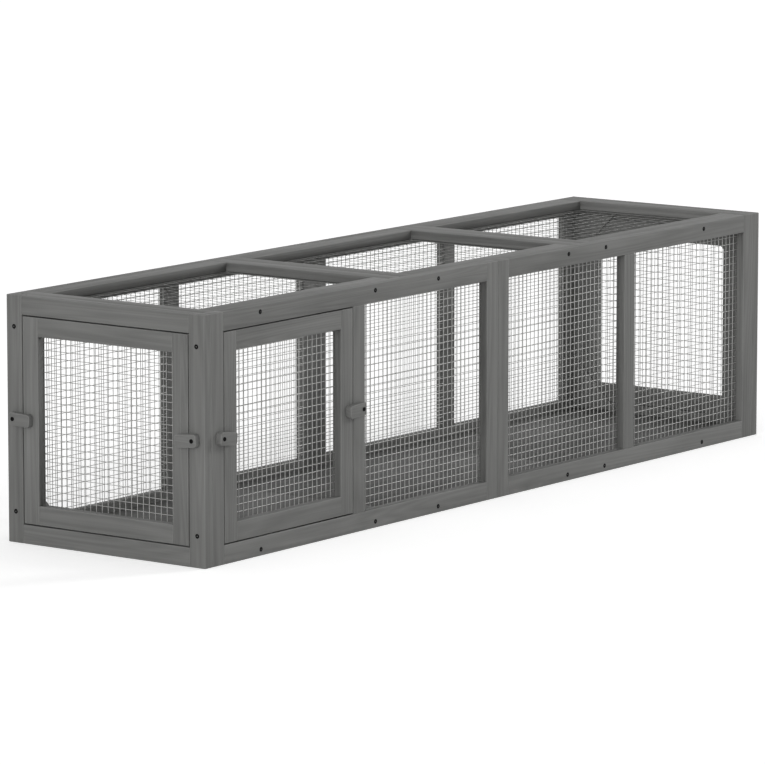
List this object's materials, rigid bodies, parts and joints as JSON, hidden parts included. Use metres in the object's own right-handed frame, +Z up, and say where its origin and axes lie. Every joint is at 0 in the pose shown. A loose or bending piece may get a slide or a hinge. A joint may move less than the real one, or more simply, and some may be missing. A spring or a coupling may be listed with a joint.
{
  "type": "cat tunnel",
  "caption": "Long square-section cat run of stained timber frames with welded wire mesh, a solid floor, a framed roof and lift-out doors held by turn buttons.",
  "frame": {"origin": "centre of the footprint, on the ground under the middle floor board", "axes": "+X along the run, from the end nearest the front door to the other end; +Y from the front, which holds the door, to the back; +Z up"},
  "size_m": [1.6256, 0.4148, 0.402],
  "materials": {
    "frame_timber": "grey water-based stain, satin",
    "door_timber": "grey water-based stain, satin",
    "corner_stops": "grey water-based stain, satin",
    "turn_buttons": "grey water-based stain, rounded corners",
    "floor_boards": "grey water-based stain, satin",
    "mesh": "galvanised welded wire",
    "screws": "black oxide"
  },
  "bodies": {
    "tunnel": {"back_bottom_rails": "frame_timber", "back_left_stile": "frame_timber", "back_mesh_first": "mesh", "back_mesh_fourth": "mesh", "back_mesh_second": "mesh", "back_mesh_third": "mesh", "back_middle_stiles": "frame_timber", "back_mullions": "frame_timber", "back_right_stile": "frame_timber", "back_screws": "screws", "back_top_rails": "frame_timber", "floor_left": "floor_boards", "floor_middle": "floor_boards", "floor_right": "floor_boards", "front_bottom_rails": "frame_timber", "front_corner_stops": "corner_stops", "front_left_stile": "frame_timber", "front_mesh_left": "mesh", "front_mesh_middle": "mesh", "front_mesh_right": "mesh", "front_middle_stiles": "frame_timber", "front_mullions": "frame_timber", "front_right_stile": "frame_timber", "front_screws": "screws", "front_top_rails": "frame_timber", "left_end_corner_stops": "corner_stops", "left_end_rails": "frame_timber", "left_end_screws": "screws", "left_end_stiles": "frame_timber", "right_end_corner_stops": "corner_stops", "right_end_rails": "frame_timber", "right_end_screws": "screws", "right_end_stiles": "frame_timber", "roof_back_rails": "frame_timber", "roof_first_seam_cross_members": "frame_timber", "roof_front_rails": "frame_timber", "roof_left_cross_member": "frame_timber", "roof_mesh_left": "mesh", "roof_mesh_middle": "mesh", "roof_mesh_right": "mesh", "roof_right_cross_member": "frame_timber", "roof_second_seam_cross_members": "frame_timber", "turn_button_screws": "screws"},
    "left_door": {"left_end_door_mesh": "mesh", "left_end_door_rails": "door_timber", "left_end_door_stiles": "door_timber"},
    "front_door": {"front_door_mesh": "mesh", "front_door_rails": "door_timber", "front_door_stiles": "door_timber"},
    "right_door": {"right_end_door_mesh": "mesh", "right_end_door_rails": "door_timber", "right_end_door_stiles": "door_timber"},
    "front_button_left_body": {"front_button_left": "turn_buttons"},
    "front_button_right_body": {"front_button_right": "turn_buttons"},
    "left_end_button_back_body": {"left_end_button_back": "turn_buttons"},
    "left_end_button_front_body": {"left_end_button_front": "turn_buttons"},
    "right_end_button_back_body": {"right_end_button_back": "turn_buttons"},
    "right_end_button_front_body": {"right_end_button_front": "turn_buttons"}
  },
  "joints": [
    {"name": "left_door_lift_out", "type": "slide", "parent": "tunnel", "child": "left_door", "axis": [-1, 0, 0], "range_m": [0, 0.25]},
    {"name": "front_door_lift_out", "type": "slide", "parent": "tunnel", "child": "front_door", "axis": [0, -1, 0], "range_m": [0, 0.25]},
    {"name": "right_door_lift_out", "type": "slide", "parent": "tunnel", "child": "right_door", "axis": [1, 0, 0], "range_m": [0, 0.25]},
    {"name": "left_end_button_back_pivot", "type": "hinge", "parent": "tunnel", "child": "left_end_button_back_body", "pos_m": [-0.8, 0.1815, 0.203], "axis": [-1, 0, 0], "range_deg": [-90, 90]},
    {"name": "left_end_button_front_pivot", "type": "hinge", "parent": "tunnel", "child": "left_end_button_front_body", "pos_m": [-0.8, -0.1835, 0.203], "axis": [-1, 0, 0], "range_deg": [-90, 90]},
    {"name": "right_end_button_back_pivot", "type": "hinge", "parent": "tunnel", "child": "right_end_button_back_body", "pos_m": [0.8, 0.183, 0.203], "axis": [1, 0, 0], "range_deg": [-90, 90]},
    {"name": "right_end_button_front_pivot", "type": "hinge", "parent": "tunnel", "child": "right_end_button_front_body", "pos_m": [0.8, -0.183, 0.203], "axis": [1, 0, 0], "range_deg": [-90, 90]},
    {"name": "front_button_left_pivot", "type": "hinge", "parent": "tunnel", "child": "front_button_left_body", "pos_m": [-0.764, -0.201, 0.203], "axis": [0, -1, 0], "range_deg": [-90, 90]},
    {"name": "front_button_right_pivot", "type": "hinge", "parent": "tunnel", "child": "front_button_right_body", "pos_m": [-0.3985, -0.201, 0.203], "axis": [0, -1, 0], "range_deg": [-90, 90]}
  ]
}
